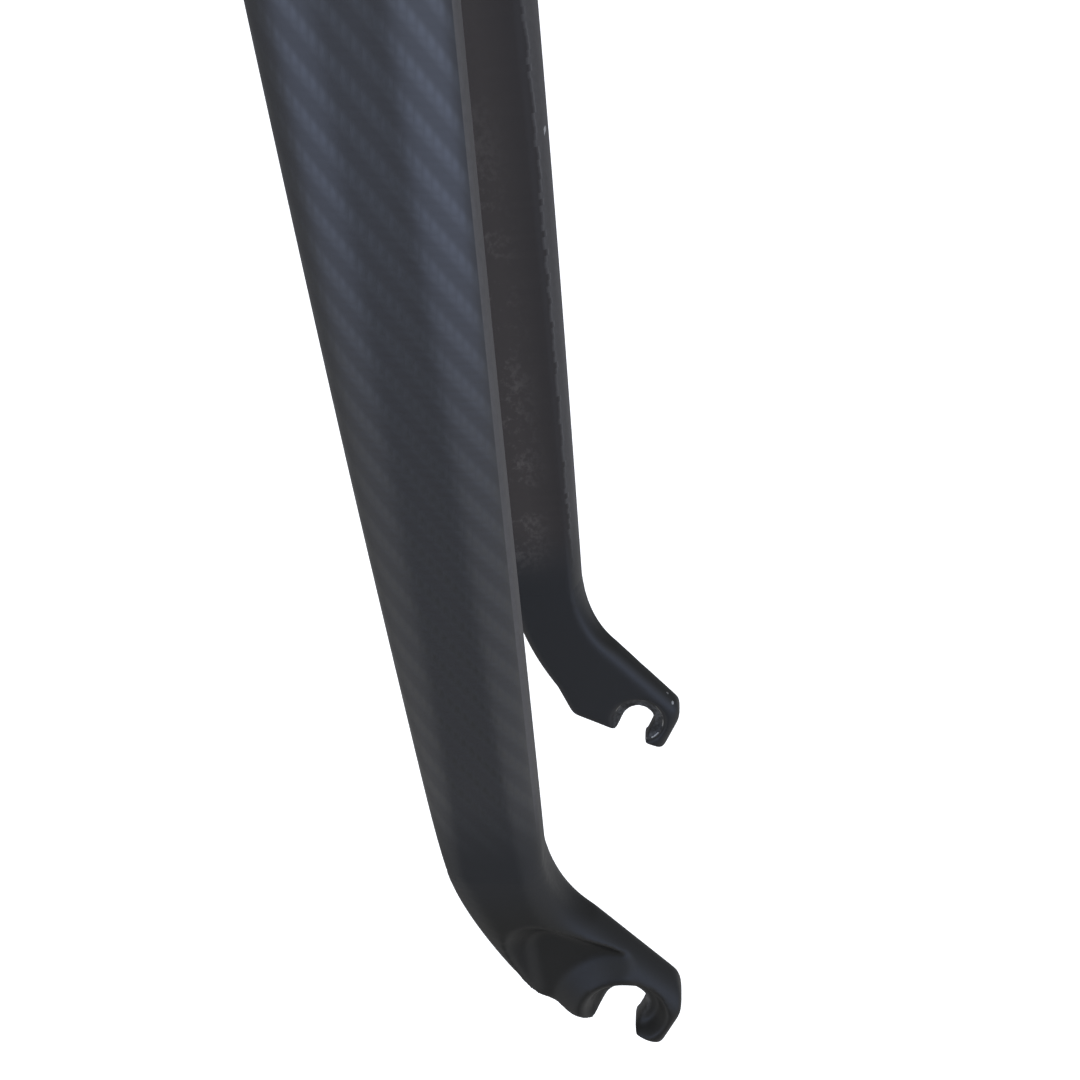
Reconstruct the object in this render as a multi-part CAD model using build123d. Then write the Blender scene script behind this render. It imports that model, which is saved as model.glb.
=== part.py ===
from build123d import *
import math
import os

# Driving sizes, mm. The axle sits RAKE ahead of the steering axis and AXLE_DROP
# below the crown race face, which is the origin. X is forward, Y is to the left.
RAKE = 45.0
AXLE_DROP = 385.0
HUB_WIDTH = 100.0
AXLE_SLOT = 9.2
STEERER_OD = 28.6
STEERER_ID = 24.0
STEERER_LENGTH = 220.0
RACE_SEAT_OD = 30.0
RACE_SEAT_HEIGHT = 7.0
SPIGOT_OD = 30.4
SOCKET_DEPTH = 16.0
BOSS_OD = 37.0
CROWN_CHORD = 41.0
CROWN_DEPTH = 35.0
BLADE_SETBACK = 13.4
JOINT_SETBACK = 14.4
BLADE_WALL = 2.4
BOND_GAP = 0.2
JOINT_HEIGHT = 45.0
TANG_LENGTH = 24.0
BRAKE_DROP = 25.0
BRAKE_BOLT_D = 6.2
BRAKE_NUT_D = 8.2
SLEEVE_OD = 10.6
NUT_POCKET = 24.0

# Dropout plate levels, measured across from the centre plane.
INNER_RECESS = 1.8
INNER_RECESS_R = 7.8
OUTER_RECESS_R = 7.5
PLATE_INNER = HUB_WIDTH / 2 - INNER_RECESS
WEB = 4.8
NOSE_THICKNESS = 10.7
NECK_THICKNESS = 11.9
SLOT_LEAN = 25.0
FRONT_R = 6.0
FRONT_INNER_R = 3.6
NOSE_INNER_R = 3.0
TIP_R = 2.2
EDGE_R = 1.6

# Height of the crown's underside above the axle, and the lean that brings the
# blade centres onto the steering axis up there.
ARCH_HEIGHT = AXLE_DROP - CROWN_DEPTH - 3.0
ARCH_BACK = BLADE_SETBACK + CROWN_CHORD / 2
LEAN = math.asin(RAKE / math.hypot(ARCH_HEIGHT, ARCH_BACK)) - math.atan2(ARCH_BACK, ARCH_HEIGHT)

# The leg frame: axle centre at the origin, Z up along the straight blades.
LEG = Location((RAKE, 0, -AXLE_DROP), (0, -math.degrees(LEAN), 0))
MIN_Z = (Align.CENTER, Align.CENTER, Align.MIN)

# Wheel-side path of one leg, as (across, height) points from the joint to the crown.
PATH_POINTS = [
    (PLATE_INNER, JOINT_HEIGHT),
    (48.9, 125.0),
    (45.8, 205.0),
    (40.0, 275.0),
    (32.6, 316.0),
    (18.0, 339.6),
    (0.0, ARCH_HEIGHT),
]
JOINT_CHORD = 21.4
JOINT_DEPTH = 15.6
LEG_STEPS = 18
HOLLOW_STEPS = 16


def section(chord, depth, inner_r, outer_r, inset=0.0):
    """Closed outline: flat wheel side at the bottom, softly bowed outer side on top."""
    half = chord / 2 - inset
    low = inset
    top = depth - inset
    in_u = inner_r[0] - inset * 0.5
    in_w = inner_r[1] - inset
    out_u = outer_r[0] - inset * 0.5
    out_w = outer_r[1] - inset
    lo_c = half - in_u
    hi_c = half - out_u
    edges = [
        Line((-lo_c, low), (lo_c, low)),
        EllipticalCenterArc((lo_c, low + in_w), in_u, in_w, 270, arc_size=90),
        Line((half, low + in_w), (half, top - out_w)),
        EllipticalCenterArc((hi_c, top - out_w), out_u, out_w, 0, arc_size=90),
        Line((hi_c, top), (-hi_c, top)),
        EllipticalCenterArc((-hi_c, top - out_w), out_u, out_w, 90, arc_size=90),
        Line((-half, top - out_w), (-half, low + in_w)),
        EllipticalCenterArc((-lo_c, low + in_w), in_u, in_w, 180, arc_size=90),
    ]
    return Face(Wire(edges))


def leg_path():
    """Wheel-side path of one leg, upright at the joint and level at the crown."""
    return Spline(PATH_POINTS, tangents=[(0, 1), (-1, 0)])


def leg_outline(rise, inset):
    """Outline of the leg at a share of its length, 0 at the joint and 1 at the crown."""
    height = leg_path().position_at(rise).Y
    up = (height - JOINT_HEIGHT) / (ARCH_HEIGHT - JOINT_HEIGHT)
    swell = rise ** 8
    foot = (1 - rise) ** 8
    chord = JOINT_CHORD + (CROWN_CHORD - JOINT_CHORD) * up
    depth = JOINT_DEPTH + 2.8 * rise + (CROWN_DEPTH - JOINT_DEPTH - 2.8) * swell
    inner_r = (2.8 + 4.6 * rise, 9.2 - 0.6 * rise)
    outer_r = (chord * (0.39 - 0.14 * foot - 0.08 * swell), 5.0 - 0.8 * foot + 1.6 * rise + 6.4 * swell)
    return chord, section(chord, depth, inner_r, outer_r, inset)


def leg_section(rise, inset):
    """One section of the left leg, X forward along the chord, Y outward from the wheel."""
    path = leg_path()
    spot = path.position_at(rise)
    tangent = path.tangent_at(rise)
    chord, outline = leg_outline(rise, inset)
    setback = BLADE_SETBACK + (JOINT_SETBACK - BLADE_SETBACK) * (1 - rise) ** 3
    middle = -setback - chord / 2
    plane = Plane(origin=(middle, spot.X, spot.Y), x_dir=(1, 0, 0), z_dir=(0, tangent.X, tangent.Y))
    return plane * outline


def leg_sections(count, inset):
    """Evenly spaced sections of the left leg, from the dropout joint upward."""
    return [leg_section(i / LEG_STEPS, inset) for i in range(count + 1)]


def both_legs():
    """Left leg lofted to the middle of the crown, and mirrored."""
    leg = loft(leg_sections(LEG_STEPS, 0.0))
    return leg + mirror(leg, about=Plane.XZ)


def crown_boss():
    """Round boss under the crown race, flared into the top of the crown."""
    top_r = BOSS_OD / 2
    profile = Polyline((0, -22), (0, 0), (top_r - 0.8, 0), (top_r, -0.8), (top_r, -3))
    flare = ThreePointArc((top_r, -3), (top_r + 0.7, -7), (top_r + 1.6, -11))
    close = Polyline((top_r + 1.6, -11), (top_r - 1.0, -22), (0, -22))
    return revolve(Plane.XZ * make_face([profile, flare, close]), Axis.Z)


def fork_body():
    """Crown and both hollow blades."""
    body = LEG * both_legs() + crown_boss()
    hollow = loft(leg_sections(HOLLOW_STEPS, BLADE_WALL))
    body -= LEG * hollow
    body -= LEG * mirror(hollow, about=Plane.XZ)
    socket_r = SPIGOT_OD / 2 + BOND_GAP / 2
    body -= Pos(0, 0, -SOCKET_DEPTH) * Cylinder(socket_r, SOCKET_DEPTH + 5, align=MIN_Z)
    body -= Pos(0, 0, -BRAKE_DROP) * Rot(0, 90, 0) * Cylinder(SLEEVE_OD / 2 + BOND_GAP / 4, 80)
    return body


def steerer_tube():
    """Plain tube with the crown race seat at its foot and a spigot in the crown."""
    tube = Cylinder(STEERER_OD / 2, STEERER_LENGTH, align=MIN_Z)
    tube = chamfer(tube.edges().group_by(Axis.Z)[-1], 0.6)
    tube += Cylinder(RACE_SEAT_OD / 2, RACE_SEAT_HEIGHT, align=MIN_Z)
    tube += Pos(0, 0, -SOCKET_DEPTH) * Cylinder(SPIGOT_OD / 2, SOCKET_DEPTH, align=MIN_Z)
    bore = Cylinder(STEERER_ID / 2, SOCKET_DEPTH + STEERER_LENGTH + 2, align=MIN_Z)
    return tube - Pos(0, 0, -SOCKET_DEPTH - 1) * bore


def brake_sleeve():
    """Turned sleeve across the crown: bolt bore from the front, nut pocket from the rear."""
    front = CROWN_CHORD / 2
    body = Rot(0, 90, 0) * Cylinder(SLEEVE_OD / 2, 2 * front)
    body -= Rot(0, 90, 0) * Cylinder(BRAKE_BOLT_D / 2, 3 * front)
    pocket = Cylinder(BRAKE_NUT_D / 2, NUT_POCKET, align=MIN_Z)
    body -= Pos(-front - 0.01, 0, 0) * Rot(0, 90, 0) * pocket
    return Pos(0, 0, -BRAKE_DROP) * body


def slot_axes():
    """Unit directions along the slot, toward its closed end, and across it."""
    a = math.radians(SLOT_LEAN)
    return (math.sin(a), math.cos(a)), (math.cos(a), -math.sin(a))


FRONT_C = (-5.3, 24.7)
CHORD_C = 21.8
TILT_C = 34.0
FRONT_B = (-11.1, 31.9)
CHORD_B = 20.6
TILT_B = 13.0
NOSE = (13.9, 3.1)
HOOK_TIP = (7.1, -10.9)
SLOT_FRONT = (1.7, -8.6)
SLOT_REAR = (-8.0, -3.1)
HEEL = (-19.6, 2.8)


def rear_point(front, chord, tilt):
    """Far end of a chord that starts at the front edge."""
    a = math.radians(tilt)
    return (front[0] - chord * math.cos(a), front[1] - chord * math.sin(a))


def neck_plane(front, chord, tilt):
    """Plane across the bent neck of the left dropout."""
    a = math.radians(tilt)
    rear = rear_point(front, chord, tilt)
    middle = ((front[0] + rear[0]) / 2, PLATE_INNER, (front[1] + rear[1]) / 2)
    return Plane(origin=middle, x_dir=(math.cos(a), 0, math.sin(a)), z_dir=(-math.sin(a), 0, math.cos(a)))


def prism(outline, near, far):
    """Outline drawn in (forward, up), extruded from one level across to another."""
    return extrude(Plane.XZ.offset(-near) * outline, amount=-(far - near))


def middle_of(start, end):
    """Point half way along a line."""
    return ((start[0] + end[0]) / 2, (start[1] + end[1]) / 2)


def beyond(start, end, extra):
    """Point past the end of a line by an extra length."""
    share = extra / math.dist(start, end)
    return (end[0] + (end[0] - start[0]) * share, end[1] + (end[1] - start[1]) * share)


def slab(corners, radii):
    """Plate of a rounded outline: flat on the wheel side, thinning toward the nose outside."""
    outline = make_face(Polyline(*corners, close=True))
    for point, radius in radii:
        spot = outline.vertices().sort_by_distance((point[0], point[1], 0))[0]
        outline = fillet(spot, radius)
    plate = prism(outline, PLATE_INNER, PLATE_INNER + NECK_THICKNESS + 4)
    reach = 26.0
    fall = math.degrees(math.atan2(NECK_THICKNESS - NOSE_THICKNESS, reach))
    lid = Box(160, 40, 160, align=(Align.CENTER, Align.MIN, Align.CENTER))
    top = neck_plane(FRONT_C, CHORD_C, TILT_C)
    return plate - top * Pos(0, NECK_THICKNESS, 0) * Rot(-fall, 0, 0) * lid


def soften(plate, start, inner_r, outer_r):
    """Round the chain of edges that runs on smoothly from one outline point, on both faces."""
    for level, radius in ((PLATE_INNER, inner_r), (PLATE_INNER + NOSE_THICKNESS, outer_r)):
        spot = Vector(start[0], level, start[1])
        edge = plate.edges().sort_by(lambda e: (e.position_at(0.5) - spot).length)[0]
        plate = fillet(edge, radius)
    return plate


def dropout_plate():
    """Hook plate below the neck: a full round along its front, crisper round the hook."""
    rear_c = rear_point(FRONT_C, CHORD_C, TILT_C)
    shoulder = beyond(NOSE, FRONT_C, 12.0)
    brow = beyond(FRONT_C, NOSE, 11.0)
    behind = [(brow[0] - 50.0, brow[1] - 45.0), (shoulder[0] - 50.0, shoulder[1] - 45.0)]
    front = slab([shoulder, brow, *behind], [])
    front = soften(front, middle_of(shoulder, brow), FRONT_INNER_R, FRONT_R)
    lift = 0.15
    high = (shoulder[0] + lift * 0.74, shoulder[1] + lift * 0.67)
    nose = (NOSE[0] + lift * 0.74, NOSE[1] + lift * 0.67)
    toe = beyond(NOSE, HOOK_TIP, 12.0)
    face = slab([high, nose, toe, (-45.0, toe[1]), (-45.0, high[1])], [(nose, 8.0)])
    face = soften(face, middle_of(high, nose), NOSE_INNER_R, EDGE_R)
    ahead = [beyond(rear_c, FRONT_C, 7.0), (20.6, 6.4)]
    radii = [(HOOK_TIP, 2.6), (SLOT_FRONT, 3.0), (SLOT_REAR, 2.6), (HEEL, 4.0)]
    hook = slab([*ahead, HOOK_TIP, SLOT_FRONT, SLOT_REAR, HEEL, rear_c], radii)
    hook = soften(hook, middle_of(SLOT_REAR, HEEL), EDGE_R, TIP_R)
    return front & face & hook


def dropout_neck(plate):
    """Bent neck from the blade's section down to the hook plate."""
    cut = neck_plane(FRONT_C, CHORD_C, TILT_C)
    centre = cut.origin + cut.y_dir * NECK_THICKNESS / 2
    low = plate.faces().sort_by(lambda face: (face.center() - centre).length)[0]
    middle = neck_plane(FRONT_B, CHORD_B, TILT_B) * section(CHORD_B, 13.9, (2.6, 4.6), (6.2, 5.2))
    upper = leg_section(0.0, 0.0)
    return loft([upper, middle, low])


def tang():
    """Spigot that is bonded into the hollow end of the blade."""
    plug = loft(leg_sections(HOLLOW_STEPS, BLADE_WALL + BOND_GAP))
    keep = Pos(0, 0, JOINT_HEIGHT) * Box(200, 200, TANG_LENGTH, align=MIN_Z)
    return plug & keep


POCKET_FLOOR = 56.0
POCKET_RISE = 10.0
POCKET_R = 4.0
LIP_TOP_R = 10.2
LIP_FOOT_R = 16.0


def pocket_outline(corner, end, heel, corner_r):
    """Outline of the scoop at one level: rear corner, front end of the ridge, and the heel."""
    outline = make_face(Polyline(corner, end, (-4.0, -14.0), heel, close=True))
    spot = outline.vertices().sort_by_distance((corner[0], corner[1], 0))[0]
    return fillet(spot, corner_r)


def pocket():
    """Scoop in the outer face above and behind the axle seat, with sloping sides, run out over the heel."""
    low = pocket_outline((-20.4, 25.8), (12.0, 11.1), (-19.0, -4.0), 5.0)
    high = pocket_outline((-28.6, 38.0), (17.0, 17.4), (-27.6, -4.0), 8.0)
    levels = (POCKET_FLOOR, POCKET_FLOOR + POCKET_RISE)
    cutter = loft([Plane.XZ.offset(-y) * face for y, face in zip(levels, (low, high))], ruled=True)
    floor = cutter.faces().sort_by(Axis.Y)[0]
    cutter = fillet([edge for edge in floor.edges() if edge.position_at(0.5).Z > 9], POCKET_R)
    lip = Cone(LIP_FOOT_R, LIP_TOP_R, 4.0, align=MIN_Z)
    post = Pos(0, 0, 4.0) * Cylinder(LIP_TOP_R, 20, align=MIN_Z)
    return cutter - Pos(0, POCKET_FLOOR, 0) * Rot(-90, 0, 0) * (lip + post)


def outer_dish():
    """Seat for the axle's nut in the outer face, flaring to a soft lip."""
    rim = OUTER_RECESS_R
    profile = Polyline((0, 0), (rim, 0), (rim, 1.0), (rim + 2.1, 4.6), (rim + 5.0, 9.0), (0, 9.0), close=True)
    dish = revolve(Plane.XZ * make_face(profile), Axis.Z)
    return Pos(0, PLATE_INNER + INNER_RECESS + WEB, 0) * Rot(-90, 0, 0) * dish


def slot():
    """Open axle slot, round at its closed end on the axle centre."""
    along, across = slot_axes()
    half = AXLE_SLOT / 2
    reach = 24.0
    a = (half * across[0], half * across[1])
    b = (-a[0], -a[1])
    down = (-reach * along[0], -reach * along[1])
    c = (b[0] + down[0], b[1] + down[1])
    d = (a[0] + down[0], a[1] + down[1])
    outline = make_face(Polyline(a, b, c, d, close=True))
    outline += Circle(half)
    return prism(outline, PLATE_INNER - 10, PLATE_INNER + 30)


def dropout():
    """Left dropout: neck, tang and hook plate, with its slot, seats and scoop."""
    plate = dropout_plate()
    body = plate + dropout_neck(plate) + tang()
    body -= pocket()
    body -= outer_dish()
    body -= prism(Circle(INNER_RECESS_R), PLATE_INNER - 5, PLATE_INNER + INNER_RECESS)
    body -= slot()
    return body


def main():
    os.makedirs("parts", exist_ok=True)
    export_step(fork_body(), "parts/fork_body.step")
    export_step(steerer_tube(), "parts/steerer_tube.step")
    export_step(brake_sleeve(), "parts/brake_sleeve.step")
    left = dropout()
    export_step(LEG * left, "parts/dropout_left.step")
    export_step(LEG * mirror(left, about=Plane.XZ), "parts/dropout_right.step")


main()
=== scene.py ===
import math

import bmesh
import bpy
import numpy as np
from mathutils import Matrix, Vector


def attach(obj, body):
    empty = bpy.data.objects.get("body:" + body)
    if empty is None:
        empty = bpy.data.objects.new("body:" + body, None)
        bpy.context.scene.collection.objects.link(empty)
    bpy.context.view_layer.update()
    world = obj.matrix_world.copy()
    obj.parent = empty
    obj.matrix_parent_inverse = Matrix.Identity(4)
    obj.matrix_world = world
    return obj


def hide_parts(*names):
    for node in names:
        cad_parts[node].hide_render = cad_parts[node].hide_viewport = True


bl_info = {
    "name": "Rigid bicycle fork",
    "version": (1, 0, 0),
    "blender": (4, 5, 0),
    "location": "3D View > Sidebar > Fork",
    "description": "Carbon blades and crown, painted dropouts, alloy steerer and a studio",
    "category": "Object",
}

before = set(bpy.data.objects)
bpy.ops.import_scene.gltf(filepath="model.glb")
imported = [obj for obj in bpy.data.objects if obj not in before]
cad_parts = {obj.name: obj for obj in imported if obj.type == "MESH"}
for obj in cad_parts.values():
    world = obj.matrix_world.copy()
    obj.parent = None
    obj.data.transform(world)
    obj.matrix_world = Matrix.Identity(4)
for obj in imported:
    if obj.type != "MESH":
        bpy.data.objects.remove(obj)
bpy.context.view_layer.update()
MM = 0.001

# The legs, in mm, in their own frame: axle centre at the origin, X forward, Z up the blades.
RAKE = 45.0
AXLE_DROP = 385.0
CROWN_CHORD = 41.0
CROWN_DEPTH = 35.0
BOSS_RISE = 3.0
BLADE_SETBACK = 13.4
JOINT_SETBACK = 14.4
JOINT_CHORD = 21.4
JOINT_DEPTH = 15.6
JOINT_HEIGHT = 45.0
ARCH_HEIGHT = AXLE_DROP - CROWN_DEPTH - BOSS_RISE
ARCH_BACK = BLADE_SETBACK + CROWN_CHORD / 2
LEAN = math.asin(RAKE / math.hypot(ARCH_HEIGHT, ARCH_BACK)) - math.atan2(ARCH_BACK, ARCH_HEIGHT)
AXLE = Vector((RAKE, 0, -AXLE_DROP)) * MM
UPWARD = Vector((-math.sin(LEAN), 0, math.cos(LEAN)))
FORWARD = Vector((math.cos(LEAN), 0, math.sin(LEAN)))

# The wheel side of the left leg from the joint to the middle of the crown: (outward, up).
PATH = [
    (48.2, JOINT_HEIGHT), (48.9, 125.0), (45.8, 205.0), (40.0, 275.0),
    (32.6, 316.0), (18.0, 339.6), (0.0, ARCH_HEIGHT),
]
PATH_STEPS = 80
RINGS = 128
SOCKET_WALL = 2.6
SOCKET_REACH = 26.0
SOCKET_RINGS = 4

# Sections of a leg: depth, and corner radii along the chord and outward. GAIN grows evenly with the leg's
# length; FOOT and CROWN count only close to the joint and to the crown.
NEAR_END = 8
DEPTH_GAIN = 2.8
INNER_R = (2.8, 9.2)
INNER_GAIN = (4.6, -0.6)
OUTER_SHARE = 0.39
OUTER_SHARE_FOOT = 0.14
OUTER_SHARE_CROWN = 0.08
OUTER_R = 5.0
OUTER_R_FOOT = 0.8
OUTER_R_GAIN = 1.6
OUTER_R_CROWN = 6.4
CORNER_INSET = 0.5
FLAT_STEPS = 6
INNER_STEPS = 9
EDGE_STEPS = 3
OUTER_STEPS = 14
FACE_STEPS = 4
FRONT_POINT = FLAT_STEPS + INNER_STEPS + 1
TAGS = ("girth", "run", "lap", "chord")

# The crown, in mm below the crown race.
BOSS_OD = 37.0
BOSS_CHAMFER = 0.8
BOSS_FOOT = 22.0
FLARE_TOP = 3.0
FLARE_DEPTH = 8.0
FLARE_OUT = 1.6
FLARE_STEPS = 6
SOCKET_R = 15.3
SOCKET_DEPTH = 16.0
SLEEVE_R = 5.35
SLEEVE_CUT = 80.0
BRAKE_DROP = 25.0
ROUND_STEPS = 96
SLEEVE_STEPS = 64
WELD = 0.001
SLIVER = 0.002
SMOOTH_ANGLE = math.radians(40)

# Rounding of the forged dropouts and of the bend at the joint, in mm.
COPY_WELD = 0.01
SOFT_STEP = 0.5
SOFT_SHARE = 0.5
SOFT_ROUNDS = 11
SOFT_BELOW = 4.0
SHOULDER = 1.2
SHOULDER_LIFT = 2.0
SHOULDER_INSET = 0.1
BEND_EASE = 0.85
BEND_ABOVE = 9.0
BEND_BELOW = 7.0

# Room light by direction. AROUND gives the panels' and the room's shares by turn from the fork's right
# side, in degrees, forward positive. ROOM and PANELS give light by height above the horizon, in degrees. The
# dark gap between the panels, with its middle GAP behind the right side, widens downwards.
AROUND = [
    (-180, 0.0, 0.35), (-100, 0.0, 0.7), (-62, 0.0, 1.0), (-48, 0.9, 1.0), (-22, 1.0, 1.0),
    (-16, 0.0, 0.55), (0, 0.0, 0.55), (4, 1.0, 1.0), (58, 1.0, 1.0), (80, 0.35, 1.0),
    (110, 0.15, 0.75), (140, 0.0, 0.45), (180, 0.0, 0.35),
]
ROOM = [
    (-90, (0.30, 0.30, 0.30)), (-35, (0.37, 0.37, 0.37)), (-10, (0.40, 0.41, 0.44)),
    (25, (0.44, 0.46, 0.50)), (90, (0.85, 0.87, 0.90)),
]
PANELS = [
    (-90, (0.0, 0.0, 0.0)), (-60, (0.30, 0.30, 0.30)), (-21, (0.33, 0.33, 0.33)),
    (-6, (1.02, 1.30, 2.10)), (25, (0.90, 1.00, 1.20)), (70, (0.1, 0.1, 0.1)),
]
GAP = math.radians(8)
GAP_WIDE = math.radians(-26)
GAP_NARROW = math.radians(-8)
GAP_SPREAD = 0.62
FLOOR_SIZE = 30.0
TOP_PLACE = (0.1, 0.1, 1.9)
TOP_SIZE = 1.6
TOP_WATTS = 10.0
SENSOR = 36.0
NEAR_CLIP = 0.005

# The cloth repeats after this many tows.
TWILL_REPEAT = 4.0

# Finishes, in mm: the cloth's ragged border, the tape and its painted shade where it turns inwards, the
# skin, its dust and its painted shade, and paint that runs up from the joint. Pairs say where a finish
# begins and where it is full.
FRAY = 1.1
FRAY_PLACE = -0.1
FRAY_WIDTH = 0.25
TAPE_FADE = 0.2
TAPE_TURN = (2.0, 6.0)
SKIN_EDGE = 1.0
SKIN_SHADE = 12.0
DUST_RUN = (170.0, 70.0)
DUST_REAR = (8.0, -6.0)
DUST_GRAIN = 1.6
DUST_PATCH = 16.0
PAINT_RUN = (2.0, 24.0)

# Chips, in mm in the fork's frame: two on the left dropout's nose, one on the left blade's front edge.
NOSE_CHIPS = ((53.9, 51.4, -376.3), (55.4, 49.8, -378.7))
NOSE_CHIP_SIZE = 0.45
BLADE_CHIP = (25.6, 53.4, -213.5)
BLADE_CHIP_SIZE = 0.9
CHIP_GRAIN = 0.9

# Wear and painted light on the dropouts, in mm: radii round the axle, and distances from the fork's middle
# plane. The bright arc round each seat is a painted highlight, and the wheel side is painted lighter. Pairs
# say where a mark begins and where it is full.
SEAT_R = (7.9, 7.6)
SLOT_R = (5.8, 4.9)
SEAT_EDGE_HIGHLIGHT_R = 7.4
SEAT_EDGE_HIGHLIGHT_WIDTH = 0.14
SEAT_REACH = 52.4
WHEEL_SIDE = (50.5, 48.6)
THIN_PAINT = 17.0
PAINT_GRAIN = 0.9
RUB_SIZE = 5.0

# Lines in the bare aluminium: spacing along X, Y and Z in mm.
DRAWN_LINES = (0.5, 0.5, 40)
TURNED_LINES = (0.3, 15, 15)


def linear(code):
    """Linear RGB of an sRGB hex colour."""
    parts = [int(code[i:i + 2], 16) / 255 for i in (1, 3, 5)]
    return [c / 12.92 if c <= 0.04045 else ((c + 0.055) / 1.055) ** 2.4 for c in parts]


def add(tree, kind, feeds=None, **settings):
    """One node with its settings; each feed is a value, a socket or a node for one of its inputs."""
    node = tree.nodes.new(kind)
    for name, value in settings.items():
        setattr(node, name, value)
    for key, value in (feeds or {}).items():
        inputs = [s for s in node.inputs if s.enabled and s.name == key]
        socket = inputs[0] if inputs else node.inputs[key]
        if isinstance(value, bpy.types.Node):
            value = next(s for s in value.outputs if s.enabled)
        if isinstance(value, bpy.types.NodeSocket):
            tree.links.new(value, socket)
        else:
            socket.default_value = value
    return node


def new_material(name, feeds):
    """A material with one Principled shader; feeds(tree) gives the shader's inputs."""
    material = bpy.data.materials.new(name)
    material.use_nodes = True
    tree = material.node_tree
    tree.nodes.clear()
    shader = add(tree, "ShaderNodeBsdfPrincipled", feeds(tree))
    add(tree, "ShaderNodeOutputMaterial", {"Surface": shader})
    return material


class ForkCarbonSettings(bpy.types.PropertyGroup):
    """Sizes and colours of the carbon cloth and of the skin inside the fork."""
    tow: bpy.props.FloatProperty(
        name="Tow width", description="Width of one tow of the twill cloth",
        default=1.57 * MM, unit="LENGTH", precision=5)
    slant: bpy.props.FloatProperty(
        name="Turn of the cloth", description="How far the cloth is laid off square to the blade",
        default=math.radians(11), subtype="ANGLE")
    tape: bpy.props.FloatProperty(
        name="Edge tape", description="How far the tape on the front edge comes round onto the outer side",
        default=3.2 * MM, unit="LENGTH", precision=5)
    tape_inside: bpy.props.FloatProperty(
        name="Edge tape inside", description="How far the tape comes round onto the wheel side",
        default=9.0 * MM, unit="LENGTH", precision=5)
    overlap: bpy.props.FloatProperty(
        name="Overlap", description="How far the cloth comes round the rear edge onto the wheel side",
        default=3.0 * MM, unit="LENGTH", precision=5)
    # The lit and crossing tows are one fibre: their two colours are the weave's pattern and painted sheen.
    fibre_light: bpy.props.FloatVectorProperty(
        name="Lit tows", description="Colour of the tows that run up the blade",
        default=linear("#454545"), subtype="COLOR", size=3)
    fibre_dark: bpy.props.FloatVectorProperty(
        name="Crossing tows", description="Colour of the tows that cross the blade",
        default=linear("#2f2e2e"), subtype="COLOR", size=3)
    skin: bpy.props.FloatVectorProperty(
        name="Wheel side", description="Colour of the matt moulded skin on the wheel side",
        default=linear("#2d2824"), subtype="COLOR", size=3)
    edge: bpy.props.FloatVectorProperty(
        name="Tape", description="Colour of the tape over the front edge",
        default=linear("#524f4c"), subtype="COLOR", size=3)
    # Painted shade: the same tape, drawn darker where it turns onto the wheel side.
    tape_inside_painted_shade: bpy.props.FloatVectorProperty(
        name="Tape inside", description="Colour of the tape where it turns onto the wheel side",
        default=linear("#45423f"), subtype="COLOR", size=3)
    chip: bpy.props.FloatVectorProperty(
        name="Chip", description="Colour of the resin in a chip",
        default=linear("#9a9893"), subtype="COLOR", size=3)
    joint: bpy.props.FloatVectorProperty(
        name="Joint", description="Paint that runs over the joint with the dropout",
        default=linear("#232323"), subtype="COLOR", size=3)
    speck: bpy.props.FloatVectorProperty(
        name="Specks", description="Colour of the dusty specks in the skin",
        default=linear("#45403b"), subtype="COLOR", size=3)


class ForkPaintSettings(bpy.types.PropertyGroup):
    """Colours of the painted dropouts."""
    paint: bpy.props.FloatVectorProperty(
        name="Paint", description="Black satin paint",
        default=linear("#1c1b18"), subtype="COLOR", size=3)
    # Also the colour that paints the dropouts' wheel side lighter: painted light.
    joint: bpy.props.FloatVectorProperty(
        name="Joint", description="Thinner paint that runs over the joint with the blade",
        default=linear("#232323"), subtype="COLOR", size=3)
    worn: bpy.props.FloatVectorProperty(
        name="Worn seat", description="Seat rubbed by the hub's lock nut",
        default=linear("#4a4947"), subtype="COLOR", size=3)
    # Also the colour of the painted highlight: the bright arc round each seat's edge.
    metal: bpy.props.FloatVectorProperty(
        name="Chips", description="Bare alloy in the chips",
        default=linear("#9b9a97"), subtype="COLOR", size=3)


class ForkAlloySettings(bpy.types.PropertyGroup):
    """Colours of the bare aluminium."""
    dull: bpy.props.FloatVectorProperty(
        name="Dull", description="Aluminium in the lines",
        default=linear("#9c9c9b"), subtype="COLOR", size=3)
    bright: bpy.props.FloatVectorProperty(
        name="Bright", description="Aluminium between the lines",
        default=linear("#bdbdbb"), subtype="COLOR", size=3)


class ForkStageSettings(bpy.types.PropertyGroup):
    """Camera and floor."""
    camera_place: bpy.props.FloatVectorProperty(
        name="Camera place", description="Where the camera stands",
        default=(0.05677, -0.25076, -0.16183), subtype="TRANSLATION", size=3)
    camera_turn: bpy.props.FloatVectorProperty(
        name="Camera turn", description="How the camera is turned",
        default=[math.radians(a) for a in (63.076, 3.109, 5.560)], subtype="EULER", size=3)
    lens: bpy.props.FloatProperty(name="Lens", description="Focal length in mm", default=40.933)
    shift: bpy.props.FloatProperty(name="Shift", description="Vertical lens shift", default=-0.02477)
    floor: bpy.props.FloatVectorProperty(
        name="Floor", description="Pale floor", default=linear("#f2f2f2"), subtype="COLOR", size=3)
    floor_height: bpy.props.FloatProperty(
        name="Floor height", description="Height of the floor", default=-0.95, unit="LENGTH")


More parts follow.
